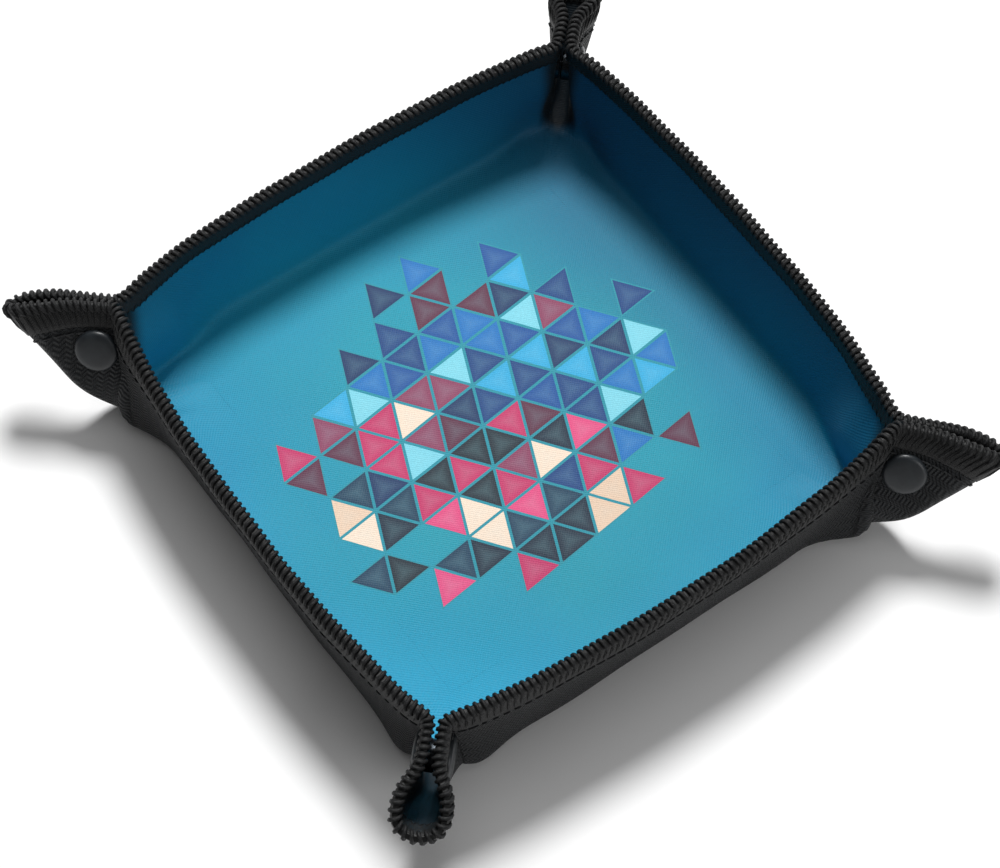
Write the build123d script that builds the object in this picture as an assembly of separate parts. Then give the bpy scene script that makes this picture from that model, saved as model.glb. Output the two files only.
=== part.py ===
"""Folding dice tray: a square padded sheet with four hinged walls, eight
corner halves and four snap fasteners, modelled snapped up (the state in use).
Units mm, +Z up, base underside on z = 0, centre of the tray on the Z axis."""
import os
from math import atan, cos, radians, sin, sqrt

from build123d import *

# ------------------------------------------------------------- driving sizes
SHEET_SIDE = 210.0        # side of the opened-out sheet
WALL_SLANT = 35.0         # crease at the base to the raw edge of a wall
WALL_LEAN = 80.0          # lean of a snapped-up wall above the floor, degrees
SHELL_T = 1.2             # outer nylon cloth
CORE_T = 1.1              # foam stiffener of the base and the walls
LINER_T = 0.7             # printed inner cloth
EAR_SHELL_T = 1.2         # outer cloth of a corner half, which has no foam
CREASE_GAP = 0.30         # free cloth left on each side of a crease
EAR_GAP = 2.1             # printed face of a corner half to the corner plane
EAR_TWIST = 30.0          # lean of the two ears that roll over sideways, degrees
FOLD_SPARE = 1.1          # room for the folds of two halves as they pass flat
TWIST_DROP = 1.5          # the roll's axis below the neck's rim
TWIST_KEEP = 20.5         # depth of stiff cloth below the rim of a rolled ear
TWIST_CUT = 3.2           # soft cloth left beside the crease of a rolled ear
EAR_LOW_TRIM = 1.2        # low end of a corner half, squared off above the base
BIND_T = 0.5              # edge binding: thickness of the tape
BIND_W = 5.8              # edge binding: depth of the tape on both faces
SNAP_FROM_EDGE = 12.0     # snap axis to the raw edge
SNAP_FROM_CREASE = 7.7    # snap axis to the crease of the corner half
CAP_D = 12.2              # snap cap
CAP_H = 1.5
CAP_DOME = 0.5            # how far the cap is crowned
POST_D = 3.2              # rivet post of the cap through the cloth
SOCKET_D = 8.8
SOCKET_H = 2.7
SOCKET_BORE_D = 5.8
STUD_FLANGE_D = 8.6
STUD_FLANGE_H = 1.0
STUD_D = 2.8
STUD_H = 2.8
POST_GRIP = 0.6           # post held inside the socket or the stud

# ------------------------------------------------------------ derived sizes
A = SHEET_SIDE / 2                      # half of the sheet
B = A - WALL_SLANT                      # half of the base
T = SHELL_T + CORE_T + LINER_T          # sheet thickness, printed face on z = T
EAR_T = EAR_SHELL_T + LINER_T
TH = radians(WALL_LEAN)
PHI = atan(cos(TH))                     # slope of the corner crease in the sheet
CREASE_SHIFT = EAR_GAP * sqrt(2) / (sin(PHI) * cos(TH) + cos(PHI))

os.makedirs("parts", exist_ok=True)


def unit(v):
    return v / v.length


def turned(v, axis, angle):
    """Vector v turned about a unit axis (right hand rule, radians)."""
    return v * cos(angle) + axis.cross(v) * sin(angle) + axis * (
        axis.dot(v) * (1 - cos(angle)))


CREASE_FLAT = Vector(cos(PHI), sin(PHI), 0)
WALL_AXIS = Axis((B, 0, T), (0, -1, 0))          # east wall folds up about this
UP = Vector(0, -1, 0)
CREASE_UP = turned(CREASE_FLAT, UP, TH)          # the same crease, snapped up
CORNER_N = unit(Vector(1, -1, 0))                # normal of the corner plane
# normal of the east wall's printed face, snapped up (points into the tray)
WALL_N = turned(Vector(0, 0, 1), UP, TH)
# the printed face of a corner half must end up facing the corner plane
EAR_TURN = WALL_N.get_signed_angle(CORNER_N * -1, CREASE_UP * -1)
# point on the shifted crease, in the sheet
CREASE_P = Vector(B + CREASE_SHIFT * sin(PHI), B - CREASE_SHIFT * cos(PHI), T)
FOLD_CLEAR = EAR_GAP + EAR_T + BIND_T + FOLD_SPARE   # plate end to the diagonal


def crease_at(x):
    """Sheet point of the shifted corner crease at a given x."""
    return CREASE_P + CREASE_FLAT * ((x - CREASE_P.X) / cos(PHI))


def wall_up(obj):
    return obj.rotate(WALL_AXIS, WALL_LEAN)


def ear_up(obj):
    axis = Axis(CREASE_P, CREASE_FLAT * -1)
    return wall_up(obj.rotate(axis, EAR_TURN))


def ear_rolled(obj, angle):
    """Roll a snapped ear sideways about the line of its rim."""
    top = turned(P_TOP - Vector(B, 0, T), UP, TH) + Vector(B, 0, T)
    mid = (top.X + top.Y) / 2
    return obj.rotate(Axis((mid, mid, top.Z - TWIST_DROP), (1, 1, 0)), angle)


def plate(points, z0, z1):
    face = make_face(Polyline([Vector(x, y, z0) for x, y in points], close=True))
    return extrude(face, amount=z1 - z0, dir=(0, 0, 1))


def cut_side(obj, point, normal):
    """Keep the part of obj on the side the normal points away from."""
    return split(obj, bisect_by=Plane(origin=point, z_dir=normal), keep=Keep.BOTTOM)


def cylinder(x, y, z0, z1, d):
    return Pos(x, y, (z0 + z1) / 2) * Cylinder(d / 2, z1 - z0)


# ------------------------------------------------------- flat outlines (x, y)
low = crease_at(B)
P_LOW = CREASE_P + CREASE_FLAT * (
    (FOLD_CLEAR * sqrt(2) - (CREASE_P.X - CREASE_P.Y)) / (cos(PHI) - sin(PHI)))
P_TOP = crease_at(A)
print("neck height %.2f, crease shift %.2f, corner half turn %.2f"
      % (T + WALL_SLANT * sin(TH), CREASE_SHIFT, EAR_TURN))


def base_outline(inset):
    h = B - inset
    c = B - low.Y + inset * 0.6
    return [(h, -h + c), (h, h - c), (h - c, h), (-h + c, h), (-h, h - c),
            (-h, -h + c), (-h + c, -h), (h - c, -h)]


def base_layer(z0, z1, inset):
    return plate(base_outline(inset), z0, z1)


def wall_layer(z0, z1, x_end, side_inset, x_start=None):
    x0 = B + CREASE_GAP if x_start is None else x_start
    p, q = crease_at(x0), crease_at(x_end)
    k = side_inset / cos(PHI)
    body = plate([(x0, -p.Y + k), (x_end, -q.Y + k), (x_end, q.Y - k), (x0, p.Y - k)],
                 z0, z1)
    return body


def mitre(obj):
    """Trim the cloth of the east wall back along the bisector of its creases,
    so that the corner halves can turn outward without running into it."""
    for s in (1, -1):
        p = Vector(CREASE_P.X, s * CREASE_P.Y, T)
        along = Vector(cos(PHI), s * sin(PHI), 0)
        across = Vector(-sin(PHI), s * cos(PHI), 0)      # towards the corner half
        n = turned(across, along, s * radians(EAR_TURN) / 2)
        if n.Z > 0:
            n = turned(across, along, -s * radians(EAR_TURN) / 2)
        obj = cut_side(obj, p - n * CREASE_GAP, n)
    return obj


def ear_mitre(obj):
    along = CREASE_FLAT
    across = Vector(-sin(PHI), cos(PHI), 0)
    n = turned(across, along, radians(EAR_TURN) / 2)
    if n.Z < 0:
        n = turned(across, along, -radians(EAR_TURN) / 2)
    return cut_side(obj, CREASE_P + n * CREASE_GAP, n * -1)


def bend_ring(r_in, r_out, x_end):
    """Quarter round that turns a corner half in towards the corner plane
    along its fold, from the low end of the fold to the rim."""
    start = P_LOW
    end = Vector(x_end, x_end - FOLD_CLEAR * sqrt(2), T)
    along = unit(end - start)
    outward = Vector(-1, 1, 0) / sqrt(2)          # towards the diagonal
    centre = Vector(0, 0, EAR_GAP)
    pl = Plane(origin=start - along * 12 + centre, x_dir=outward, z_dir=along)
    ring = extrude(pl * (Circle(r_out) - Circle(r_in)), amount=(end - start).length + 24)
    box = extrude(pl * (Pos(r_out, -r_out) * Rectangle(2 * r_out, 2 * r_out)),
                  amount=(end - start).length + 24)
    return ring & box


def trim_low(obj):
    """Square off the low end of a corner half, clear of the base."""
    along = Vector(1, 1, 0) / sqrt(2)
    return cut_side(obj, P_LOW + along * EAR_LOW_TRIM, along * -1)


def ear_layer(z0, z1, x_end):
    """One cloth layer of a corner half with its turned-in fold, in the sheet."""
    q = crease_at(x_end)
    body = plate([(P_LOW.X, P_LOW.Y), (q.X, q.Y),
                  (x_end, x_end - FOLD_CLEAR * sqrt(2))], z0, z1)
    ring = bend_ring(EAR_GAP + T - z1, EAR_GAP + T - z0, x_end)
    ring = cut_side(ring, Vector(x_end, 0, 0), Vector(1, 0, 0))
    ring = cut_side(ring, CREASE_P, Vector(sin(PHI), -cos(PHI), 0))
    return trim_low(ear_mitre(body + ring))


def tape(points, z_low, z_high):
    """U-shaped binding over the edge x = A between two end lines."""
    (y0a, y0b), (y1a, y1b) = points        # y at x = A - BIND_W and at x = A
    xi, xo = A - BIND_W, A
    lo = plate([(xi, y0a), (xo, y1a), (xo, y1b), (xi, y0b)], z_low - BIND_T, z_low)
    hi = plate([(xi, y0a), (xo, y1a), (xo, y1b), (xi, y0b)], z_high, z_high + BIND_T)
    f = (BIND_W - BIND_T) / BIND_W
    ya, yb = y0a + (y1a - y0a) * f, y0b + (y1b - y0b) * f
    web = plate([(xo - BIND_T, ya), (xo, y1a), (xo, y1b), (xo - BIND_T, yb)],
                z_low, z_high)
    return lo + hi + web


# ------------------------------------------------------------------- parts
parts = {}
X_CLOTH = A - BIND_T                       # cloth ends inside the binding

parts["base_shell"] = base_layer(0, SHELL_T, CREASE_GAP)
parts["base_core"] = base_layer(SHELL_T, SHELL_T + CORE_T, 1.2)
parts["base_liner"] = base_layer(T - LINER_T, T, CREASE_GAP)

wall = {
    "shell": mitre(wall_layer(0, SHELL_T, X_CLOTH, 0)),
    "core": mitre(wall_layer(SHELL_T, SHELL_T + CORE_T, A - BIND_T, 1.2, B + 1.2)),
    "liner": mitre(wall_layer(T - LINER_T, T, X_CLOTH, 0)),
    "binding": mitre(tape(((-crease_at(A - BIND_W).Y, crease_at(A - BIND_W).Y),
                           (-crease_at(A).Y, crease_at(A).Y)), 0, T)),
}

snap_x = A - SNAP_FROM_EDGE
snap_c = crease_at(snap_x) + Vector(-sin(PHI), cos(PHI), 0) * SNAP_FROM_CREASE
SX, SY = snap_c.X, snap_c.Y
hole = cylinder(SX, SY, T - EAR_T - 1, T + 1, POST_D)

ear_bot = T - EAR_T
ear = {
    "shell": ear_layer(ear_bot, ear_bot + EAR_SHELL_T, X_CLOTH) - hole,
    "liner": ear_layer(T - LINER_T, T, X_CLOTH) - hole,
}


def ear_tape():
    xi = A - BIND_W
    d = FOLD_CLEAR * sqrt(2)
    flat = tape(((crease_at(xi).Y, xi - d), (crease_at(A).Y, A - d)), ear_bot, T)

    def rings(r_in, r_out, x0, x1):
        ring = bend_ring(r_in, r_out, A + 20)
        ring = cut_side(ring, Vector(x1, 0, 0), Vector(1, 0, 0))
        return cut_side(ring, Vector(x0, 0, 0), Vector(-1, 0, 0))
    r_out = EAR_GAP + EAR_T
    curl = (rings(EAR_GAP - BIND_T, EAR_GAP, xi, A)
            + rings(r_out, r_out + BIND_T, xi, A)
            + rings(EAR_GAP, r_out, A - BIND_T, A))
    return ear_mitre(flat + curl)


ear["binding"] = ear_tape()


def dome(z_back, z_front, d, crown):
    """Disc with a flat back and a spherically crowned front face."""
    r = d / 2
    ball = (r * r + crown * crown) / (2 * crown)
    return cylinder(0, 0, z_front, z_back, d) & (Pos(0, 0, z_front + ball) * Sphere(ball))


cap = Pos(SX, SY, 0) * dome(ear_bot, ear_bot - CAP_H, CAP_D, CAP_DOME)
cap = cap + cylinder(SX, SY, ear_bot - 0.2, T + POST_GRIP, POST_D)
socket = cylinder(SX, SY, T, T + SOCKET_H, SOCKET_D)
socket = socket - cylinder(SX, SY, T - 1, T + POST_GRIP, POST_D)
socket = socket - cylinder(SX, SY, T + 0.8, T + SOCKET_H + 1, SOCKET_BORE_D)
socket = chamfer(socket.edges().filter_by(GeomType.CIRCLE).sort_by(Axis.Z)[-2:], 0.35)
stud = cylinder(SX, SY, T, T + STUD_FLANGE_H, STUD_FLANGE_D)
stud = stud + cylinder(SX, SY, T + STUD_FLANGE_H, T + STUD_H, STUD_D)
stud = chamfer(stud.edges().filter_by(GeomType.CIRCLE).sort_by(Axis.Z)[-1], 0.4)
stud = stud - cylinder(SX, SY, T - 1, T + POST_GRIP, POST_D)

def for_rolled(obj):
    """Corner half of a rolled ear: its cloth stays soft low down and beside
    the crease, where the real cloth bends, so the stiff part is trimmed."""
    obj = cut_side(obj, Vector(A - TWIST_KEEP, 0, 0), Vector(-1, 0, 0))
    side = Vector(sin(PHI), -cos(PHI), 0)
    return cut_side(obj, CREASE_P - side * TWIST_CUT, side)


SIDES = ("east", "north", "west", "south")
CORNERS = ("ne", "nw", "sw", "se")
ROLL = {"ne": 0, "nw": EAR_TWIST, "sw": 0, "se": -EAR_TWIST}
for i, side in enumerate(SIDES):
    for layer, obj in wall.items():
        parts["wall_%s_%s" % (side, layer)] = wall_up(obj).rotate(Axis.Z, 90 * i)

DIAGONAL = Plane(origin=(0, 0, 0), z_dir=(1, -1, 0))
for i, corner in enumerate(CORNERS):
    # first half hangs on the wall before the corner, second on the wall after
    for half in ("a", "b"):
        pieces = dict(ear)
        pieces["cap"] = cap
        pieces["socket" if half == "a" else "stud"] = socket if half == "a" else stud
        for layer, obj in pieces.items():
            if ROLL[corner] and layer in ear:
                obj = for_rolled(obj)
            up = ear_up(obj)
            if half == "b":
                up = mirror(up, about=DIAGONAL)
            if ROLL[corner]:
                up = ear_rolled(up, ROLL[corner])
            parts["ear_%s_%s_%s" % (corner, half, layer)] = up.rotate(Axis.Z, 90 * i)

for name, obj in parts.items():
    solids = obj.solids()
    if len(solids) != 1:
        print("WARNING", name, "has", len(solids), "solids")
    out = solids[0] if len(solids) == 1 else obj
    out.label = name
    export_step(out, "parts/%s.step" % name)
print(len(parts), "parts")
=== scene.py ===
from math import atan, cos, pi, radians, sin, sqrt, tan

import bpy
import numpy as np
from mathutils import Matrix, Vector


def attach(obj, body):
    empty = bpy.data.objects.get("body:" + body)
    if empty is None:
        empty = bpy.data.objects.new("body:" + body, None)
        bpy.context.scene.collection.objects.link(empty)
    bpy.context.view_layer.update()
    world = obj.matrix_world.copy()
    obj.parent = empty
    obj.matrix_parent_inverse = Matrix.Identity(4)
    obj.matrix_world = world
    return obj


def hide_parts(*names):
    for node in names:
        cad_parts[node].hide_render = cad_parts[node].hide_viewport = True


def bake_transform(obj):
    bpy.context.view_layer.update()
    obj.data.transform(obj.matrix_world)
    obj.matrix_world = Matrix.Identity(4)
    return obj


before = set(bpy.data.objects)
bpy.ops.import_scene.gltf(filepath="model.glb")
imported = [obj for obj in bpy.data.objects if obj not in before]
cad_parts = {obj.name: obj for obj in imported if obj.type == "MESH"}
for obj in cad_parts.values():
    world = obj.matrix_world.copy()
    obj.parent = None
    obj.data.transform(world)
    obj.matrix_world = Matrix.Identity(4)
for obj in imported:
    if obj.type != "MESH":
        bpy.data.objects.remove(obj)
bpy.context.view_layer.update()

MM = 0.001

# ------------------------------------------------ sizes shared with part.py
A, B, T = 105.0, 70.0, 3.0             # half sheet, half base, print face height
LINER_T, SHELL_T, EAR_T = 0.7, 1.2, 1.9
LEAN = radians(80)
PHI = atan(cos(LEAN))                  # slope of the corner crease in the sheet
EAR_GAP = 2.1                          # print of a corner half to the corner plane
SHIFT = EAR_GAP * sqrt(2) / (sin(PHI) * cos(LEAN) + cos(PHI))
PX, PY = B + SHIFT * sin(PHI), B - SHIFT * cos(PHI)
SNAP_FROM_EDGE, SNAP_FROM_CREASE = 12.0, 7.7
FLAT_HALF = 58.0                        # half side of the base tile, flat throughout
ROLL = {"ne": 0.0, "nw": radians(30), "sw": 0.0, "se": radians(-30)}
ROLL_AXIS_DROP = 1.5                    # axis of a rolled corner, below the rim
SIDES = ("east", "north", "west", "south")
CORNERS = ("ne", "nw", "sw", "se")

P0 = np.array([B + (PX - B) * cos(LEAN), PY, T + (PX - B) * sin(LEAN)])
CREASE_UP = np.array([cos(PHI) * cos(LEAN), sin(PHI), cos(PHI) * sin(LEAN)])
DIAG = np.array([1.0, 1.0, 0.0]) / sqrt(2)
OUT = DIAG - CREASE_UP * float(DIAG @ CREASE_UP)
OUT = OUT / np.linalg.norm(OUT)        # away from the crease, in a corner half
RIM_Z = T + (A - B) * sin(LEAN)
ROLL_Z = RIM_Z - ROLL_AXIS_DROP


def smooth(t):
    t = np.clip(t, 0.0, 1.0)
    return t * t * (3 - 2 * t)


def crease_y(x):
    """Where the corner crease crosses a row of the sheet; it closes on the
    corner below the first fold."""
    return np.minimum(PY + (x - PX) * tan(PHI), x * PY / PX)


def ear_point(x, y):
    """The flat corner half, snapped up, as in the CAD."""
    dx, dy = x - PX, y - PY
    along = dx * cos(PHI) + dy * sin(PHI)
    away = -dx * sin(PHI) + dy * cos(PHI)
    return P0 + along * CREASE_UP + away * OUT


# -------------------------------------------------------- the sheet's net
# Rows are distances from the centre of the flat sheet, mm. Wall columns are
# shares of the way from mid-side to the corner crease, ear columns shares of
# the way from the crease to the fold.
ROWS = [46, 50, 54, FLAT_HALF, 62, 65, 67.5, B, 72.5, 75, 78, 82, 87, 92, 97, 101, A]
WALL_COLS = [0, .15, .3, .45, .6, .72, .82, .9, .95, 1.0]
EAR_COLS = [.1, .22, .36, .5, .64, .76, .86, .94, 1.0]
NECK_COL = len(WALL_COLS) - 1
FOLD_COL = NECK_COL + len(EAR_COLS)
SEAM_COL = 7.0                          # seam between a wall and a corner piece
ROW_0 = ROWS.index(FLAT_HALF)
ROW_END = len(ROWS) - 1
# mid-side, mm: foot outward, its crease in the flat sheet, rim outward, rim down
BOW_X, BOW_CREASE, BOW_RIM, BOW_DIP = 5.4, 4.2, 5.6, 1.3
OPEN = {"ne": 3.2, "nw": 0.5, "sw": 3.4, "se": 0.5}   # half gap of a corner's loop
DROOP = 3.6                             # tips of the corners hang
PUFF, PUFF_OUT = 4.6, 4.2               # slack at the foot of a pinched corner
SAG = 4.5                               # the folded edge hangs below a straight line
FOLD_LOSS = 1.2                         # cloth taken up by the turn of the fold
PINCH = 1.1                             # the rim closes over the snap


def low_part(x):
    """1 at the foot of a side, 0 from half way up and on the flat base."""
    return float(smooth((A - 12 - x) / 20) * smooth((x - 61) / 8))


def wall_control(x, tau):
    """The wall leaves the floor in a wide curve nearly all along its foot,
    and its rim bows outward mid-side."""
    foot, high = 1 - tau ** 8, 1 - tau ** 2.2
    puff = PUFF * low_part(x) * float(smooth((tau - 0.72) / 0.28))
    xv, X = B + BOW_CREASE * foot, B + BOW_X * foot
    rim_x = B + (A - B) * cos(LEAN) + BOW_RIM * high
    rim_z = RIM_Z - BOW_DIP * high
    y = tau * crease_y(x)
    if x <= xv:
        return (x + (X - xv) * smooth((x - 60) / (xv - 60)) + puff, y, T, x, y)
    f = (x - xv) / (A - xv)
    pinch = PINCH * float(smooth((x - A + 9) / 6) * smooth((tau - 0.9) / 0.1)) / sqrt(2)
    return (X + (rim_x - X) * f + puff - pinch, y + pinch, T + (rim_z - T) * f, x, y)


def ear_control(x, s, opening):
    """A corner half from the crease (s = 0) to the fold (s = 1): snapped flat
    near the crease, opening into a loop beyond the snap."""
    yc = crease_y(x)
    long = x - yc
    y = yc + s * long
    puff = low_part(x)
    if x <= B:
        out = PUFF_OUT * puff * s / sqrt(2)
        side = PUFF * puff * (1 - s)
        return (x + out + side, y + out, T, x, y)
    e = s * (long - FOLD_LOSS)
    p = ear_point(x, yc) + (ear_point(x, yc + 1) - ear_point(x, yc)) * e
    d, n = float(p @ DIAG), EAR_GAP
    away = e * cos(PHI)
    n += opening * float(smooth((away - 13) / 8))
    n -= PINCH * float(smooth((x - A + 9) / 6) * (1 - smooth((away - 12) / 6)))
    n += PUFF * puff * (1 - s) / sqrt(2)
    d += PUFF * puff * (1 - s) / sqrt(2) + PUFF_OUT * puff * s
    z = p[2] - DROOP * float(np.clip((away - 10) / 20, 0, 2)) ** 2
    z -= SAG * s * s * sin(pi * (x - B) / (A - B))
    if s == 1.0:
        n = 0.0
    elif s > 0.9:
        n *= 0.86
    return ((d + n) / sqrt(2), (d - n) / sqrt(2), z, x, y)


def half_net(opening):
    """Control points of half a side, from mid-side to the fold."""
    return np.array([[wall_control(x, t) for t in WALL_COLS]
                     + [ear_control(x, s, opening) for s in EAR_COLS] for x in ROWS])


def mirror_y(net):
    m = net.copy()
    m[..., 1] *= -1
    m[..., 4] *= -1
    return m


def wall_net(side):
    """Control net of one side of the sheet from fold to fold, with ghosts."""
    i = SIDES.index(side)
    right, left = CORNERS[i], CORNERS[i - 1]
    plus, minus = half_net(OPEN[right]), mirror_y(half_net(OPEN[left]))
    net = np.concatenate([minus[:, :0:-1], plus], axis=1)
    n = net.shape[1]
    up = net[:, [n - 2, n - 3, n - 4]][..., [1, 0, 2, 4, 3]]
    dn = net[:, [3, 2, 1]][..., [1, 0, 2, 4, 3]] * np.array([-1, -1, 1, -1, -1])
    net = np.concatenate([dn, net, up], axis=1)
    end = 2 * net[-1:] - net[-2:-1]
    start = 2 * net[:1] - net[1:2]
    return np.concatenate([start, net, end, end], axis=0)


GHOST_C, GHOST_R = 3, 1
NETS = {side: wall_net(side) for side in SIDES}


def spline(net, u, v):
    """Uniform bicubic B-spline of the net at row parameter u, column v."""
    u, v = np.broadcast_arrays(np.asarray(u, float), np.asarray(v, float))
    i = np.clip(np.floor(u).astype(int), 0, ROW_END)
    c0 = v + FOLD_COL
    j = np.floor(c0).astype(int)
    out = np.zeros(u.shape + (5,))

    def weights(f):
        return ((1 - f) ** 3 / 6, (3 * f ** 3 - 6 * f ** 2 + 4) / 6,
                (-3 * f ** 3 + 3 * f ** 2 + 3 * f + 1) / 6, f ** 3 / 6)
    wu, wv = weights(u - i), weights(c0 - j)
    for a in range(4):
        for b in range(4):
            row = np.clip(i + a - 1 + GHOST_R, 0, net.shape[0] - 1)
            col = np.clip(j + b - 1 + GHOST_C, 0, net.shape[1] - 1)
            out += net[row, col] * (wu[a] * wv[b])[..., None]
    return out


def turn(p, axis, angle, origin):
    """Points turned about one axis, each by its own angle."""
    q = p - origin
    c, s = np.cos(angle)[..., None], np.sin(angle)[..., None]
    along = (q @ axis)[..., None] * axis
    return origin + q * c + np.cross(axis, q) * s + along * (1 - c)


def ripple(fx, fy):
    """Slight unevenness of the cloth, millimetres, the same all over the sheet."""
    return (0.16 * np.sin(fx * 0.071 + 1.3) * np.sin(fy * 0.083 + 0.4)
            + 0.10 * np.sin(fx * 0.19 + fy * 0.13 + 2.0)
            + 0.07 * np.sin(fx * 0.11 - fy * 0.27))


def local_point(side, u, v):
    """Printed face of a side, in the east wall's frame, and its flat place. A
    rolled corner turns about the diagonal, and takes the wall's end with it."""
    i = SIDES.index(side)
    s = spline(NETS[side], u, v)
    p, fx, fy = s[..., :3], s[..., 3], s[..., 4]
    for sign, corner in ((1, CORNERS[i]), (-1, CORNERS[i - 1])):
        if not ROLL[corner]:
            continue
        a, b = np.maximum(fx, sign * fy), np.minimum(fx, sign * fy)
        away = (b - crease_y(a)) * cos(PHI)
        depth = A - a                   # mm below the rim, as away is mm past the crease
        fade = 1 - 0.42 * smooth((depth - 18) / 17) - 0.58 * smooth((depth - 33) / 14)
        axis = np.array([1.0, sign, 0.0]) / sqrt(2)
        rolled = turn(p, axis, fade * ROLL[corner], np.array([0, 0, ROLL_Z]))
        near = np.where(sign * fy > 0, 1.0, 0.0)
        wide, tight = near * smooth((away + 26) / 28.5), near * smooth((away + 10) / 12.5)
        p = p + (rolled - p) * np.stack([wide, tight, tight], -1)
        p[..., 2] = np.maximum(p[..., 2], T)
    return p, fx, fy


QUARTERS = [(1, 0), (0, 1), (-1, 0), (0, -1)]          # cosine and sine


def about_z(p, i):
    """Points turned by i quarters about the tray's middle."""
    c, s = QUARTERS[i % 4]
    q = p.copy()
    q[..., 0], q[..., 1] = p[..., 0] * c - p[..., 1] * s, p[..., 0] * s + p[..., 1] * c
    return q


def surface(side, u, v):
    """Printed face: place, normal and flat place, in the row frame, mm."""
    i = SIDES.index(side)
    u, v = np.broadcast_arrays(np.asarray(u, float), np.asarray(v, float))
    h = 0.02                            # step of the differences, in rows and columns
    p, fx, fy = local_point(side, u, v)
    above = np.minimum(u + h, ROW_END)
    du = local_point(side, above, v)[0] - local_point(side, above - 2 * h, v)[0]
    dv = local_point(side, u, v + h)[0] - local_point(side, u, v - h)[0]
    n = np.cross(du, dv)
    n /= np.linalg.norm(n, axis=-1)[..., None] + 1e-12
    flat = about_z(np.stack([fx, fy, 0 * fx], -1), i)
    p = about_z(p, i)
    n = about_z(n, i)
    p = p + n * ripple(flat[..., 0], flat[..., 1])[..., None]
    return p, n, flat[..., :2]


ROW_U = np.linspace(0, ROW_END, 600)
ROW_X = spline(NETS["east"], ROW_U, 0 * ROW_U)[:, 3]


def row_at(x):
    """Row parameter of a flat distance from the centre."""
    return np.interp(x, ROW_X, ROW_U)


def thick(v, x=80.0):
    """Cloth thickness: the foam stops at the corner crease, and thins out
    under the edge stitching."""
    w = smooth((np.abs(v) - 7.6) / 2.2)
    rim = 0.9 * smooth((x - 97.5) / 6.0)
    return (T - rim) * (1 - w) + (EAR_T - 0.25 * rim) * w


# ------------------------------------------------------------ materials
def hexc(text):
    """Linear colour from its display value."""
    out = []
    for k in (0, 2, 4):
        c = int(text[k:k + 2], 16) / 255
        out.append(c / 12.92 if c <= 0.04045 else ((c + 0.055) / 1.055) ** 2.4)
    return (*out, 1.0)


class Mat:
    """A node material, written as short calls."""

    def __init__(self, name):
        self.mat = bpy.data.materials.new(name)
        self.mat.use_nodes = True
        self.nt = self.mat.node_tree
        self.nt.nodes.clear()
        self.out = self.node("ShaderNodeOutputMaterial")
        self.bsdf = self.node("ShaderNodeBsdfPrincipled")
        self.link(self.bsdf.outputs[0], self.out.inputs[0])

    def node(self, kind, **props):
        n = self.nt.nodes.new(kind)
        for k, v in props.items():
            setattr(n, k, v)
        return n

    def link(self, a, b):
        self.nt.links.new(a, b)

    def put(self, sock, value):
        if isinstance(value, bpy.types.NodeSocket):
            self.link(value, sock)
        else:
            sock.default_value = value

    def math(self, op, a, b=0.0, c=0.0, clamp=False):
        n = self.node("ShaderNodeMath", operation=op, use_clamp=clamp)
        for s, x in zip(n.inputs, (a, b, c)):
            self.put(s, x)
        return n.outputs[0]

    def vec(self, op, a, b=None, scale=None):
        n = self.node("ShaderNodeVectorMath", operation=op)
        self.put(n.inputs[0], a)
        if b is not None:
            self.put(n.inputs[1], b)
        if scale is not None:
            self.put(n.inputs["Scale"], scale)
        return n.outputs["Value" if op in ("DOT_PRODUCT", "LENGTH", "DISTANCE") else 0]

    def join(self, x, y, z):
        n = self.node("ShaderNodeCombineXYZ")
        for s, v in zip(n.inputs, (x, y, z)):
            self.put(s, v)
        return n.outputs[0]

    def split(self, v):
        n = self.node("ShaderNodeSeparateXYZ")
        self.link(v, n.inputs[0])
        return n.outputs

    def step(self, x, a, b):
        n = self.node("ShaderNodeMapRange", interpolation_type="SMOOTHSTEP")
        for s, v in zip(n.inputs, (x, a, b, 0.0, 1.0)):
            self.put(s, v)
        return n.outputs[0]

    def ramp(self, x, stops, how="LINEAR"):
        n = self.node("ShaderNodeValToRGB")
        r = n.color_ramp
        r.interpolation = how
        while len(r.elements) > 1:
            r.elements.remove(r.elements[0])
        for k, (pos, col) in enumerate(stops):
            e = r.elements[0] if k == 0 else r.elements.new(pos)
            e.position = pos
            e.color = hexc(col)
        self.put(n.inputs[0], x)
        return n.outputs[0]

    def mix(self, f, a, b, how="MIX"):
        n = self.node("ShaderNodeMix", data_type="RGBA", blend_type=how)
        self.put(n.inputs[0], f)
        self.put(n.inputs[6], a)
        self.put(n.inputs[7], b)
        return n.outputs[2]

    def noise(self, v, scale, detail=2.0, rough=0.5):
        n = self.node("ShaderNodeTexNoise")
        self.put(n.inputs["Vector"], v)
        n.inputs["Scale"].default_value = scale
        n.inputs["Detail"].default_value = detail
        n.inputs["Roughness"].default_value = rough
        return n.outputs[0]

    def flat_mm(self):
        """Place in the flat sheet, in millimetres from its centre."""
        uv = self.node("ShaderNodeUVMap", uv_map="flat").outputs[0]
        v = self.vec("MULTIPLY", uv, (2 * A, 2 * A, 0))
        return self.vec("SUBTRACT", v, (A, A, 0))

    def object_mm(self):
        co = self.node("ShaderNodeTexCoord").outputs["Object"]
        return self.vec("SCALE", co, scale=1000.0)

    def bump(self, height, strength, distance):
        n = self.node("ShaderNodeBump")
        n.inputs["Strength"].default_value = strength
        n.inputs["Distance"].default_value = distance
        self.put(n.inputs["Height"], height)
        self.link(n.outputs[0], self.bsdf.inputs["Normal"])

    def set(self, **values):
        for k, v in values.items():
            self.put(self.bsdf.inputs[k.replace("_", " ")], v)


def wave(m, x, pitch):
    """Sine of a coordinate, one wave to a pitch."""
    return m.math("SINE", m.math("MULTIPLY", x, 2 * pi / pitch))


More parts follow.
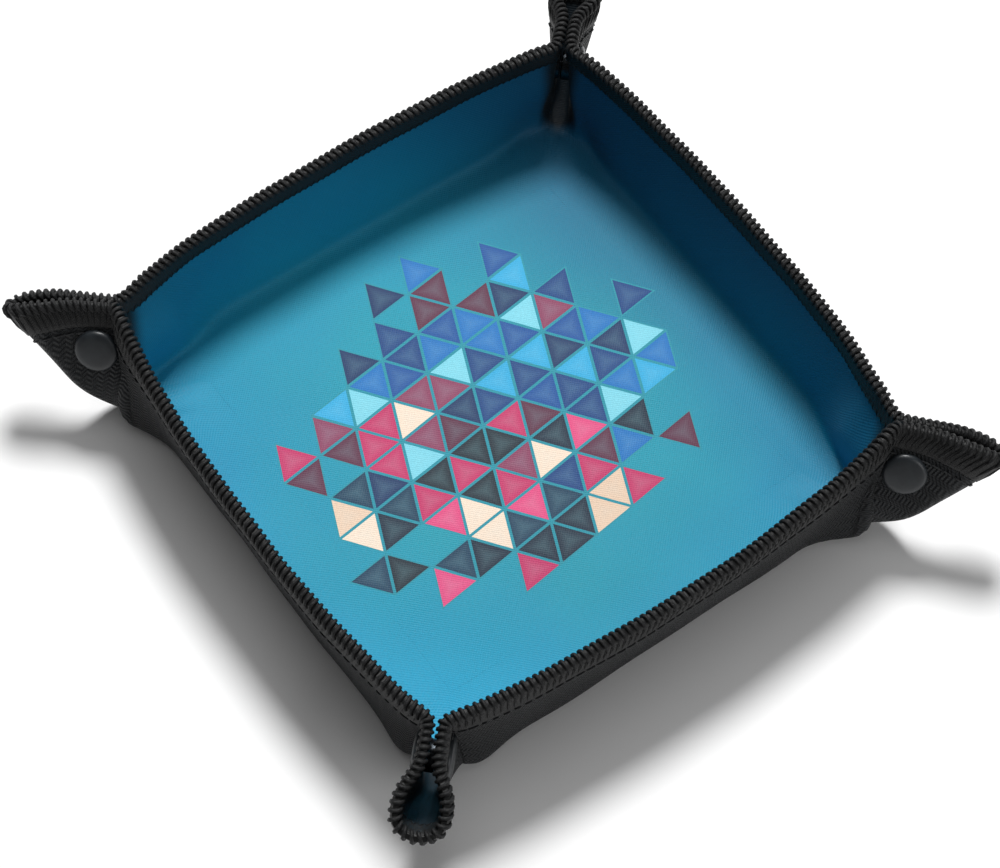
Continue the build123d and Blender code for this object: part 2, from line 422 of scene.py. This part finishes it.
def printed_cloth():
    """Fine plain weave with a generic print: a mosaic of triangles on teal, with painted shade
    on the east side and in the pinched corners, and painted light at the south-west corner.
    """
    m = Mat("printed_liner")
    p = m.flat_mm()
    x, y, _ = m.split(p)
    r = m.math("DIVIDE", m.vec("LENGTH", p), A)
    cloud = m.noise(p, 0.022, 2.0)
    ground = m.ramp(m.math("ADD", r, m.math("MULTIPLY", m.math("SUBTRACT", cloud, 0.5), 0.5)),
                    [(0.0, "1f9fa8"), (0.4, "1295aa"), (0.75, "078bac"), (1.0, "067ca2")])
    # painted shade: the print darkens towards the east side, whose walls face away from the key
    # light
    painted_shade_east = m.vec("DOT_PRODUCT", p, (0.0078, 0.0028, 0))
    ground = m.mix(m.step(painted_shade_east, 0.15, 0.95), ground, hexc("05486a"))
    # painted light: the print brightens around the south-west corner, where the key light falls
    # on the front walls' inner faces
    near = m.vec("DISTANCE", p, (-78, -78, 0))
    ground = m.mix(m.math("MULTIPLY", m.math("SUBTRACT", 1.0, m.step(near, 5.0, 75.0)), 0.75),
                   ground, hexc("08a6cb"))
    # triangular cells from three families of lines
    side_h = 11.5                       # height of a triangle
    dirs = [(cos(a), sin(a)) for a in (radians(97), radians(217), radians(337))]
    warp = m.vec("ADD", p, (4.0, -3.0, 0))
    s = m.vec("SCALE", m.join(*[m.vec("DOT_PRODUCT", warp, (d[0], d[1], 0)) for d in dirs]),
              scale=1 / side_h)
    cell, part = m.vec("FLOOR", s), m.vec("FRACTION", s)
    third = m.math("DIVIDE", m.vec("DOT_PRODUCT", cell, (1, 1, 1)), 3.0)
    c = m.vec("SUBTRACT", cell, m.join(third, third, third))
    k = 2 * side_h / 3
    cx = m.vec("DOT_PRODUCT", c, tuple(d[0] * k for d in dirs))
    cy = m.vec("DOT_PRODUCT", c, tuple(d[1] * k for d in dirs))
    centre = m.join(cx, cy, 0.0)
    rnd = m.node("ShaderNodeTexWhiteNoise", noise_dimensions="3D")
    m.link(m.vec("ADD", cell, (7.0, 3.0, 11.0)), rnd.inputs[0])
    r1, r2, r3 = m.split(rnd.outputs["Color"])
    cool = m.ramp(r1, [(0.0, "0b3f7c"), (0.2, "0f6fb8"), (0.36, "2ba7d6"), (0.5, "0a2f5e"),
                       (0.64, "5b2440"), (0.76, "7ccfe0"), (0.86, "0e4f96"),
                       (0.94, "8a3a5c")], "CONSTANT")
    warm = m.ramp(r1, [(0.0, "0c2238"), (0.3, "c22a63"), (0.46, "0e3a55"), (0.58, "e8c9ae"),
                       (0.7, "e0487f"), (0.8, "10202e"), (0.92, "f3dcc6")], "CONSTANT")
    lean = m.math("ADD", m.vec("DOT_PRODUCT", centre, (-0.011, -0.017, 0)),
                  m.math("MULTIPLY", m.math("SUBTRACT", r3, 0.5), 0.7))
    tile = m.mix(m.math("GREATER_THAN", lean, 0.12), cool, warm)
    inner = m.vec("MINIMUM", part, m.vec("SUBTRACT", (1, 1, 1), part))
    ix, iy, iz = m.split(inner)
    edge = m.math("MULTIPLY", m.math("MINIMUM", ix, m.math("MINIMUM", iy, iz)), side_h)
    tile = m.mix(m.math("MULTIPLY", m.step(edge, 0.0, 4.2), 0.09), tile, hexc("a9e4ec"))
    tile = m.mix(m.math("LESS_THAN", edge, 0.42), tile, hexc("1d8fa0"))
    reach = m.math("ADD", m.vec("LENGTH", m.vec("SUBTRACT", centre, (2.0, 1.0, 0))),
                   m.math("MULTIPLY", r2, 20.0))
    colour = m.mix(m.math("LESS_THAN", reach, 60.0), ground, tile)
    # painted shade: the pinched corners are painted near black, standing in for the shade
    # inside their folds
    ax, ay, _ = m.split(m.vec("ABSOLUTE", p))
    corner = m.step(m.math("MINIMUM", ax, ay), 66.5, 71.0)
    colour = m.mix(corner, colour, hexc("06141c"))
    # threads: small colour scatter and a plain weave relief
    fleck = m.noise(m.vec("MULTIPLY", p, (1.0, 0.35, 1.0)), 2.6, 3.0, 0.7)
    fleck2 = m.noise(m.vec("MULTIPLY", p, (0.35, 1.0, 1.0)), 2.6, 3.0, 0.7)
    both = m.math("ADD", fleck, fleck2)
    shade = m.math("ADD", 0.72, m.math("MULTIPLY", both, 0.28))
    n = m.node("ShaderNodeHueSaturation")
    n.inputs["Hue"].default_value = 0.5
    m.put(n.inputs["Value"], shade)
    m.put(n.inputs["Color"], colour)
    weave = m.math("MULTIPLY", wave(m, x, 0.9), wave(m, y, 0.9))
    height = m.math("ADD", m.math("MULTIPLY", weave, 0.5), m.math("MULTIPLY", both, 0.6))
    m.bump(height, 0.4, 0.00025)
    rough = m.math("ADD", 0.46, m.math("MULTIPLY", fleck, 0.2))
    m.set(Base_Color=n.outputs[0], Roughness=rough, Specular_IOR_Level=0.35)
    m.bsdf.inputs["Sheen Weight"].default_value = 0.05
    m.bsdf.inputs["Sheen Roughness"].default_value = 0.4
    return m.mat


def nylon(name, dark, light, pitch=1.15):
    """Black nylon cloth: short zigzag ribs with a dull gloss."""
    m = Mat(name)
    p = m.flat_mm()
    x, y, _ = m.split(p)
    zig = m.math("MULTIPLY", m.math("PINGPONG", y, pitch * 1.5), 0.62)
    rib = wave(m, m.math("ADD", x, zig), pitch)
    cross = wave(m, y, pitch * 0.5)
    fibre = m.noise(m.vec("MULTIPLY", p, (1.0, 0.4, 1.0)), 1.9, 4.0, 0.7)
    cloud = m.noise(p, 0.05, 2.0)
    height = m.math("ADD", m.math("MULTIPLY", rib, 0.55),
                    m.math("ADD", m.math("MULTIPLY", cross, 0.18),
                           m.math("MULTIPLY", fibre, 0.7)))
    tone = m.math("ADD", m.math("MULTIPLY", m.math("ADD", rib, 1.0), 0.25),
                  m.math("ADD", m.math("MULTIPLY", fibre, 0.5),
                         m.math("MULTIPLY", m.math("SUBTRACT", cloud, 0.5), 0.5)))
    m.set(Base_Color=m.ramp(tone, [(0.15, dark), (0.95, light)]),
          Roughness=m.math("ADD", 0.5, m.math("MULTIPLY", fibre, 0.22)),
          Specular_IOR_Level=0.32)
    m.bsdf.inputs["Sheen Weight"].default_value = 0.05
    m.bsdf.inputs["Sheen Roughness"].default_value = 0.35
    m.bump(height, 0.75, 0.00045)
    return m.mat


def thread(name, dark, light, rough):
    """Twisted sewing thread, or the thread-covered band it makes."""
    m = Mat(name)
    p = m.flat_mm()
    o = m.object_mm()
    ply = m.noise(m.vec("MULTIPLY", o, (1.0, 1.0, 1.6)), 2.2, 3.0, 0.6)
    fine = m.noise(p, 3.5, 2.0, 0.6)
    tone = m.math("ADD", m.math("MULTIPLY", ply, 0.7), m.math("MULTIPLY", fine, 0.3))
    m.set(Base_Color=m.ramp(tone, [(0.25, dark), (0.8, light)]),
          Roughness=m.math("ADD", rough, m.math("MULTIPLY", ply, 0.18)),
          Specular_IOR_Level=0.36)
    m.bsdf.inputs["Sheen Weight"].default_value = 0.02
    m.bump(tone, 0.8, 0.0004)
    return m.mat


def band_cloth():
    """Satin tape under the edge stitching: cross ribs of covering thread."""
    m = Mat("edge_tape")
    p = m.flat_mm()
    x, y, _ = m.split(p)
    diag = m.math("ADD", m.math("ABSOLUTE", x), m.math("ABSOLUTE", y))
    rib = wave(m, diag, 0.8)
    fine = m.noise(p, 2.8, 3.0, 0.6)
    tone = m.math("ADD", m.math("MULTIPLY", rib, 0.2), fine)
    m.set(Base_Color=m.ramp(tone, [(0.2, "020303"), (0.9, "0e0f11")]),
          Roughness=m.math("ADD", 0.42, m.math("MULTIPLY", fine, 0.25)),
          Specular_IOR_Level=0.45)
    m.bump(tone, 0.6, 0.0003)
    return m.mat


def moulded(name, dark, light, rough):
    """Moulded plastic with a fine grain."""
    m = Mat(name)
    o = m.object_mm()
    fine, broad = m.noise(o, 1.6, 3.0, 0.6), m.noise(o, 0.25, 2.0)
    m.set(Base_Color=m.ramp(broad, [(0.3, dark), (0.7, light)]),
          Roughness=m.math("ADD", rough, m.math("MULTIPLY", fine, 0.14)),
          Specular_IOR_Level=0.5)
    m.bump(fine, 0.12, 0.0002)
    return m.mat


def metal(name, dark, light):
    """Blackened sheet metal with a faint brushed grain."""
    m = Mat(name)
    o = m.object_mm()
    fine, brush = m.noise(o, 2.4, 3.0), m.noise(m.vec("MULTIPLY", o, (1, 1, 9)), 0.9, 3.0)
    m.set(Base_Color=m.ramp(brush, [(0.3, dark), (0.75, light)]),
          Roughness=m.math("ADD", 0.24, m.math("MULTIPLY", fine, 0.16)))
    m.bsdf.inputs["Metallic"].default_value = 1.0
    m.bump(brush, 0.15, 0.0001)
    return m.mat


PRINT = printed_cloth()
NYLON = nylon("nylon_shell", "07090b", "1b1f23")
THREAD = thread("overlock_thread", "030304", "151719", 0.48)
STITCH = thread("running_thread", "050607", "2a2c2f", 0.45)
TAPE = band_cloth()
CAP = moulded("snap_cap", "1c2024", "262b2f", 0.3)
SOCKET = metal("snap_socket", "17191b", "3a3e42")
STUD = metal("snap_stud", "1a1c1f", "3f4347")


# --------------------------------------------------------- mesh builders
def piece(name, verts, faces, flats, mat, angle=50):
    """Object from points in millimetres, with their places in the flat sheet
    as its UVs, smooth where faces meet at less than the angle."""
    me = bpy.data.meshes.new(name)
    me.from_pydata((np.asarray(verts) * MM).tolist(), [], faces)
    me.update()
    uv = me.uv_layers.new(name="flat")
    index = np.zeros(len(me.loops), int)
    me.loops.foreach_get("vertex_index", index)
    f = (np.asarray(flats, float) + A) / (2 * A)
    uv.data.foreach_set("uv", f[index].astype(np.float32).ravel())
    me.shade_smooth()
    me.set_sharp_from_angle(angle=radians(angle))
    me.materials.append(mat)
    obj = bpy.data.objects.new(name, me)
    bpy.context.scene.collection.objects.link(obj)
    return obj


def joined(parts):
    """Several sets of points, faces and flat places as one."""
    verts, faces, flats, count = [], [], [], 0
    for a, b, c in parts:
        verts.append(a)
        faces += [tuple(k + count for k in f) for f in b]
        flats.append(c)
        count += len(a)
    return np.concatenate(verts), faces, np.concatenate(flats)


def closed_grid(top, bottom, flat):
    """Faces and points of a closed sheet between two grids of points."""
    r, c = top.shape[:2]
    n = r * c
    verts = np.concatenate([top.reshape(-1, 3), bottom.reshape(-1, 3)])
    flats = np.concatenate([flat.reshape(-1, 2)] * 2)

    def at(i, j, low=0):
        return i * c + j + low * n
    faces = []
    for i in range(r - 1):
        for j in range(c - 1):
            faces.append((at(i, j), at(i + 1, j), at(i + 1, j + 1), at(i, j + 1)))
            faces.append((at(i, j, 1), at(i, j + 1, 1), at(i + 1, j + 1, 1), at(i + 1, j, 1)))
    ring = ([(i, 0) for i in range(r - 1)] + [(r - 1, j) for j in range(c - 1)]
            + [(i, c - 1) for i in range(r - 1, 0, -1)] + [(0, j) for j in range(c - 1, 0, -1)])
    for k, a in enumerate(ring):
        b = ring[(k + 1) % len(ring)]
        faces.append((at(*a, 1), at(*b, 1), at(*b), at(*a)))
    return verts, faces, flats


def tube_set(paths, flats, radius, sides=6):
    """Round-ended tubes along many short paths, as one mesh."""
    verts, faces, uvs = [], [], []
    ring = [(cos(2 * pi * k / sides), sin(2 * pi * k / sides)) for k in range(sides)]
    for path, flat in zip(paths, flats):
        path = np.asarray(path)
        n = len(path)
        tangent = np.gradient(path, axis=0)
        tangent /= np.linalg.norm(tangent, axis=1)[:, None] + 1e-9
        ref = np.cross(tangent[0], tangent[n // 2] + np.array([0.013, 0.007, 0.011]))
        if np.linalg.norm(ref) < 1e-3:
            ref = np.cross(tangent[0], (0.3, 0.5, 0.8))
        base = len(verts)
        for k in range(n):
            t = tangent[k]
            ref = ref - t * (ref @ t)
            ref = ref / (np.linalg.norm(ref) + 1e-9)
            other = np.cross(t, ref)
            rad = radius * (0.55 if k in (0, n - 1) else 1.0)
            for a, b in ring:
                verts.append(path[k] + (ref * a + other * b) * rad)
                uvs.append(flat[k])
        for k in range(n - 1):
            for s in range(sides):
                q = (s + 1) % sides
                a, b = base + k * sides, base + (k + 1) * sides
                faces.append((a + s, a + q, b + q, b + s))
        faces.append(tuple(base + s for s in range(sides - 1, -1, -1)))
        faces.append(tuple(base + (n - 1) * sides + s for s in range(sides)))
    return np.array(verts), faces, np.array(uvs)


def place(side, v, beyond, height, outer=0):
    """Point by the rim, at column v: beyond the edge of the sheet, and above
    its print, or above its outer face if outer is 1."""
    v, beyond, height = np.broadcast_arrays(
        *[np.asarray(a, float) for a in (v, beyond, height)])
    height = height - outer * thick(v, A + np.minimum(beyond, 0))
    u = row_at(A + np.minimum(beyond, 0))
    p, n, flat = surface(side, u, v)
    q = surface(side, u - 0.05, v)[0]
    out = p - q
    out /= np.linalg.norm(out, axis=-1)[..., None] + 1e-12
    p = p + out * np.maximum(beyond, 0)[..., None] + n * height[..., None]
    return p, flat


def tile_columns(v0, v1, per=4):
    """Columns from v0 to v1, so many to each column of the net."""
    return np.linspace(v0, v1, int(round(abs(v1 - v0) * per)) + 1)


def sheet_tile(name, side, near, far, mat, *spans):
    """A tile of one cloth layer, between two depths below the print. Each span
    is its end columns, its end rows and the number of rows."""
    parts = []
    for v0, v1, u0, u1, rows in spans:
        u = np.linspace(u0, u1, rows)[:, None]
        v = tile_columns(v0, v1)[None, :]
        p, n, flat = surface(side, u, v)
        x = np.interp(u, ROW_U, ROW_X)
        d0, d1 = near(v, x)[..., None], far(v, x)[..., None]
        parts.append(closed_grid(p - n * d0, p - n * d1, flat))
    return piece(name, *joined(parts), mat)


BAND_IN, BAND_OUT = 4.7, 6.4            # width of the tape on each face


def band_tile(name, side, v0, v1):
    """Tape wrapped over the edge, on both faces. Its section is in points of
    distance beyond the edge, height, and 1 if that is over the outer face."""
    v = tile_columns(v0, v1, 6)
    prof_in = [(-BAND_IN - 0.15, 0.03, 0), (-BAND_IN + 0.1, 0.36, 0), (-4.0, 0.46, 0),
               (-2.6, 0.44, 0), (-1.2, 0.42, 0), (-0.3, 0.30, 0), (0.2, -0.15, 0)]
    prof_out = [(0.2, 0.15, 1), (-0.3, -0.30, 1), (-1.4, -0.46, 1), (-3.2, -0.50, 1),
                (-5.2, -0.46, 1), (-BAND_OUT + 0.1, -0.36, 1), (-BAND_OUT - 0.15, -0.03, 1)]
    back = [(-BAND_OUT + 0.4, 0.16, 1), (-3.0, 0.2, 1), (-0.9, 0.3, 1),
            (-0.9, -0.3, 0), (-2.4, -0.2, 0), (-BAND_IN + 0.3, -0.16, 0)]
    rings, flats = [], []
    for b, h, outer in prof_in + prof_out + back:
        p, f = place(side, v, b, h, outer)
        rings.append(p)
        flats.append(f)
    m, c = len(rings), len(v)
    verts = np.array(rings).reshape(-1, 3)
    flats = np.array(flats).reshape(-1, 2)
    faces = []
    for k in range(m):
        q = (k + 1) % m
        for j in range(c - 1):
            faces.append((k * c + j, q * c + j, q * c + j + 1, k * c + j + 1))
    faces.append(tuple(k * c for k in range(m))[::-1])
    faces.append(tuple(k * c + c - 1 for k in range(m)))
    return piece(name, verts, faces, flats, TAPE)


def spaced_columns(side, v0, v1, pitch, beyond=0.0):
    """Columns at an even spacing along the rim between v0 and v1."""
    v = np.linspace(v0, v1, 400)
    p = place(side, v, beyond, 0)[0]
    s = np.concatenate([[0], np.cumsum(np.linalg.norm(np.diff(p, axis=0), axis=1))])
    n = max(2, int(round(s[-1] / pitch)))
    at = (np.arange(n) + 0.5) * s[-1] / n
    return np.interp(at, s, v), abs(v1 - v0) / n


TOOTH_PITCH, DASH_PITCH = 1.95, 3.1
DASH_IN = 8.0                           # lock stitch below the edge


def edge_tubes(side, cols, step, ends, shape, radius, sides):
    """One tube of thread at every stitch. Its path is in points of distance
    beyond the edge, height, 1 if that is over the outer face, and the place
    along the edge, in stitches."""
    points, flats = [], []
    for beyond, height, outer, along in shape:
        p, f = place(side, np.clip(cols + along * step, *ends), beyond, height, outer)
        points.append(p)
        flats.append(f)
    return tube_set(np.array(points).transpose(1, 0, 2), np.array(flats).transpose(1, 0, 2),
                    radius, sides)


def overlock(name, side, v0, v1):
    """Edge stitching: a loop of thick thread over the edge at every stitch,
    with its thin zigzag legs on both faces of the tape."""
    cols, step = spaced_columns(side, v0, v1, TOOTH_PITCH)
    lo, hi = min(v0, v1) + 0.01, max(v0, v1) - 0.01
    loop = [(-1.25, 0.30, 0, -.34), (-0.7, 0.52, 0, -.26), (-0.05, 0.42, 0, -.16),
            (0.45, 0.0, 0, -.06), (0.62, -0.6, 0, 0), (0.62, 0.5, 1, .05),
            (0.4, -0.1, 1, .1), (-0.3, -0.56, 1, .2), (-1.2, -0.66, 1, .32),
            (-2.0, -0.42, 1, .42)]
    leg_in = [(-3.5, 0.44, 0, -.35), (-4.3, 0.50, 0, -.1), (-5.15, 0.12, 0, .1)]
    leg_in2 = [(-5.15, 0.12, 0, .1), (-4.3, 0.50, 0, .3), (-3.5, 0.44, 0, .5)]
    leg_out = [(-1.0, -0.54, 1, .35), (-3.8, -0.60, 1, 0.05), (-6.75, -0.14, 1, -.35)]
    leg_out2 = [(-6.75, -0.14, 1, -.35), (-4.0, -0.64, 1, -.15), (-1.4, -0.58, 1, .0)]
    parts = [edge_tubes(side, cols, step, (lo, hi), shape, radius, sides)
             for shape, radius, sides in ((loop, 0.56, 7), (leg_in, 0.15, 4),
                                          (leg_in2, 0.15, 4), (leg_out, 0.24, 5),
                                          (leg_out2, 0.24, 5))]
    return piece(name, *joined(parts), THREAD, 70)


def running(name, side, v0, v1):
    """Dashes of the lock stitch below the tape, on the outer face."""
    cols, step = spaced_columns(side, v0, v1, DASH_PITCH, -DASH_IN)
    dash = [(-DASH_IN, lift, 1, along) for along, lift in (
        (-.36, -0.04), (-.26, -0.22), (0, -0.26), (.26, -0.22), (.36, -0.04))]
    tubes = edge_tubes(side, cols, step, (-np.inf, np.inf), dash, 0.26, 6)
    return piece(name, *tubes, STITCH, 70)


# ----------------------------------------------------------------- base
def base_layer(name, near, far, mat, nodes):
    """Flat middle of one cloth layer, between two depths below the print."""
    g = np.linspace(-FLAT_HALF, FLAT_HALF, 59)
    x, y = np.meshgrid(g, g, indexing="ij")
    lift = ripple(x, y)
    flat = np.stack([x, y], -1)
    top = np.stack([x, y, T + lift - near], -1)
    low = np.stack([x, y, T + lift - far], -1)
    verts, faces, flats = closed_grid(top, low, flat)
    obj = piece(name, verts, faces, flats, mat)
    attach(obj, "base")
    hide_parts(*nodes)


base_layer("liner_base", 0.0, LINER_T, PRINT, ["base_liner"])
base_layer("shell_base", T - SHELL_T, T, NYLON, ["base_shell", "base_core"])

ROW_FOLD = float(row_at(B))             # row over the hinge of a side
ROW_CLOTH = float(row_at(A - 0.3))
END_COL = 3                             # where a wall's end tiles begin
ROW_SLACK = float(row_at(84.0))         # top of the slack at a corner's foot
SLACK_COL = 9.5                         # its end, just beyond the crease


def cut_size(tile):
    """Size and area of a tile of the sheet before it is folded, in metres."""
    uv = np.zeros(2 * len(tile.data.loops))
    tile.data.uv_layers["flat"].data.foreach_get("uv", uv)
    uv = uv.reshape(-1, 2) * 2 * A * MM
    area = 0.0
    for f in tile.data.polygons:
        q = uv[f.loop_start:f.loop_start + f.loop_total]
        r = np.roll(q, -1, axis=0)
        area += abs(float((q[:, 0] * r[:, 1] - q[:, 1] * r[:, 0]).sum())) / 2
    w, h = uv.max(axis=0) - uv.min(axis=0)
    return {"flat": (float(w), float(h)), "area": area / 2}


# depths of each layer's faces below the print, at column v and distance x
def liner_near(v, x):
    return 0 * v * x


def liner_far(v, x):
    return LINER_T + 0 * v * x


def shell_near(v, x):
    return thick(v, x) - SHELL_T


# name, depths of its faces, material and slot
LAYERS = (("liner", liner_near, liner_far, PRINT, "printed_liner"),
          ("shell", shell_near, thick, NYLON, "shell_cloth"))


for i, side in enumerate(SIDES):
    wall = "wall_" + side
    for layer, near, far, mat, slot in LAYERS:
        foot = sheet_tile("%s_foot_%s" % (layer, side), side, near, far, mat,
                          (-FOLD_COL, FOLD_COL, ROW_0, ROW_FOLD, 14))
        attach(foot, "base")
        cut_size(foot)
        for sign, part, v0, v1 in ((0, "", -END_COL, END_COL),
                                   (1, "_end_a", END_COL, SEAM_COL),
                                   (-1, "_end_b", -SEAM_COL, -END_COL)):
            spans = [(v0, v1, ROW_FOLD, ROW_CLOTH, 38)]
            if sign:                    # with the slack at the corner's foot
                c0, c1 = sorted((sign * SEAM_COL, sign * SLACK_COL))
                spans.append((c0, c1, ROW_FOLD, ROW_SLACK, 16))
            tile = sheet_tile(layer + "_" + wall + part, side, near, far, mat, *spans)
            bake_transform(tile)
            cut_size(tile)
            if not part:
                nodes = ["liner"] if layer == "liner" else ["shell", "core"]
                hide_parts(*[wall + "_" + n for n in nodes])
    tape = band_tile("tape_" + wall, side, -SEAM_COL, SEAM_COL)
    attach(tape, wall)
    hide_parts(wall + "_binding")
    for obj in (overlock("overlock_" + wall, side, -SEAM_COL, SEAM_COL),
                running("stitching_" + wall, side, -SEAM_COL, SEAM_COL)):
        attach(obj, wall)


def snap_cap(name, corner, half):
    """Domed cap with a rolled edge, on the outer face of a corner half."""
    i = CORNERS.index(corner)
    sx = A - SNAP_FROM_EDGE
    cx = sx - sin(PHI) * SNAP_FROM_CREASE
    cy = PY + (sx - PX) * tan(PHI) + cos(PHI) * SNAP_FROM_CREASE
    c = ear_point(cx, cy)
    n = np.array([1.0, -1.0, 0.0]) / sqrt(2)          # away from the print
    # radius and height of the cap's section
    prof = [(0.0, 1.50), (1.6, 1.49), (3.0, 1.45), (4.2, 1.38), (5.0, 1.28), (5.45, 1.12),
            (5.8, 0.86), (6.02, 0.5), (6.1, 0.1), (6.1, -0.25), (5.7, -0.3), (0.0, -0.3)]
    seg = 56
    verts, faces = [], []
    for r, h in prof[1:-1]:
        for k in range(seg):
            a = 2 * pi * k / seg
            verts.append(c + n * (EAR_T + h) + (CREASE_UP * cos(a) + OUT * sin(a)) * r)
    top, low = len(verts), len(verts) + 1
    verts += [c + n * (EAR_T + prof[0][1]), c + n * (EAR_T + prof[-1][1])]
    m = len(prof) - 2
    for k in range(seg):
        q = (k + 1) % seg
        faces.append((top, k, q))
        for j in range(m - 1):
            faces.append((j * seg + k, (j + 1) * seg + k, (j + 1) * seg + q, j * seg + q))
        faces.append((low, (m - 1) * seg + q, (m - 1) * seg + k))
    verts = np.array(verts)
    if half == "b":
        verts = verts[:, [1, 0, 2]]
        faces = [f[::-1] for f in faces]
    if ROLL[corner]:
        verts = turn(verts, DIAG, np.full(len(verts), ROLL[corner]), np.array([0, 0, ROLL_Z]))
    verts = about_z(verts, i)
    flats = np.zeros((len(verts), 2)) + verts[top][:2]
    return piece(name, verts, faces, flats, CAP, 30)


HALF_CREASE = 17.0                      # from a crease's foot to its middle
ROLL_SHARE = 0.8                        # how far the middle of the crease is rolled

for i, corner in enumerate(CORNERS):
    for half in ("a", "b"):
        side = SIDES[i] if half == "a" else SIDES[(i + 1) % 4]
        sign = 1 if half == "a" else -1
        body, wall = "ear_%s_%s" % (corner, half), "wall_" + side
        tag = "%s_%s" % (corner, half)
        v0, v1 = sorted((sign * SEAM_COL, sign * FOLD_COL))
        f0, f1 = sorted((sign * SLACK_COL, sign * FOLD_COL))
        sheets = []
        for layer, near, far, mat, slot in LAYERS:
            top = sheet_tile("%s_ear_%s" % (layer, tag), side, near, far, mat,
                             (f0, f1, ROW_FOLD, ROW_SLACK, 16),
                             (v0, v1, ROW_SLACK, ROW_CLOTH, 24))
            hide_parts(body + "_" + layer)
            cut_size(top)
            sheets.append(top)
        tape = band_tile("tape_ear_" + tag, side, v0, v1)
        edge = overlock("overlock_ear_" + tag, side, v0, v1)
        dash = running("stitching_ear_" + tag, side, v0, v1)
        # middle of the crease, in the corner's frame, from this half's side
        mid = P0 + CREASE_UP * HALF_CREASE
        g = OUT.copy()
        if half == "b":
            mid, g = mid[[1, 0, 2]], g[[1, 0, 2]]
        if ROLL[corner]:
            mid = turn(mid[None], DIAG, np.array([ROLL[corner] * ROLL_SHARE]),
                       np.array([0, 0, ROLL_Z]))[0]
        for obj in sheets + [tape, edge, dash]:
            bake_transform(obj)
        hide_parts(body + "_binding")
        cap = snap_cap("cap_" + tag, corner, half)
        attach(cap, body)
        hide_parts(body + "_cap")

for name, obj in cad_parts.items():
    mat = SOCKET if name.endswith("_socket") else STUD if name.endswith("_stud") else None
    if mat:
        obj.data.materials.clear()
        obj.data.materials.append(mat)

# -------------------------------------------------------- floor and light
floor_mat = Mat("floor_white")
fo = floor_mat.object_mm()
fn = floor_mat.noise(fo, 0.02, 3.0)
floor_mat.set(Base_Color=floor_mat.ramp(fn, [(0.2, "fbfbfb"), (0.8, "fefefe")]), Roughness=0.75)
me = bpy.data.meshes.new("floor")
S, FLOOR_Z = 6.0, -0.0004               # half side, and just below the cloth
me.from_pydata([(-S, -S, FLOOR_Z), (S, -S, FLOOR_Z), (S, S, FLOOR_Z), (-S, S, FLOOR_Z)], [],
               [(0, 1, 2, 3)])
me.materials.append(floor_mat.mat)
floor = bpy.data.objects.new("floor", me)
bpy.context.scene.collection.objects.link(floor)


def area_light(name, place_at, look_at, size, watts):
    data = bpy.data.lights.new(name, "AREA")
    data.shape = "DISK"
    data.size, data.energy = size, watts
    obj = bpy.data.objects.new(name, data)
    obj.location = place_at
    aim = Vector(look_at) - Vector(place_at)
    obj.rotation_euler = aim.to_track_quat("-Z", "Y").to_euler()
    bpy.context.scene.collection.objects.link(obj)


area_light("key", (0.50, 0.66, 1.30), (0, 0, 0), 0.44, 25.5)
area_light("top", (0.0, 0.1, 1.6), (0, 0, 0), 1.2, 3.0)
area_light("front", (0.10, -1.4, 0.75), (0, 0, 0.02), 0.8, 4.6)

world = bpy.data.worlds.new("studio")
world.use_nodes = True
bg = world.node_tree.nodes["Background"]
bg.inputs[0].default_value = (1.0, 1.0, 1.0, 1.0)
bg.inputs[1].default_value = 0.1
bpy.context.scene.world = world
bpy.context.scene.view_settings.view_transform = "Standard"

# --------------------------------------------------------------- camera
AZ, EL, ROLL_CAM, DIST = radians(38.1), radians(60.3), radians(2.69), 0.862
AIM = (-0.0072, -0.0088, 0.0187)
back = Vector((-sin(AZ) * cos(EL), -cos(AZ) * cos(EL), sin(EL)))
right = (-back).cross(Vector((0, 0, 1))).normalized()
over = right.cross(-back)
r2 = right * cos(ROLL_CAM) + over * sin(ROLL_CAM)
u2 = over * cos(ROLL_CAM) - right * sin(ROLL_CAM)
cam_data = bpy.data.cameras.new("camera")
cam_data.sensor_width, cam_data.lens = 36.0, 114.6
cam = bpy.data.objects.new("camera", cam_data)
m = Matrix((r2, u2, back)).transposed().to_4x4()
m.translation = Vector(AIM) + back * DIST
cam.matrix_world = m
bpy.context.scene.collection.objects.link(cam)
bpy.context.scene.camera = cam
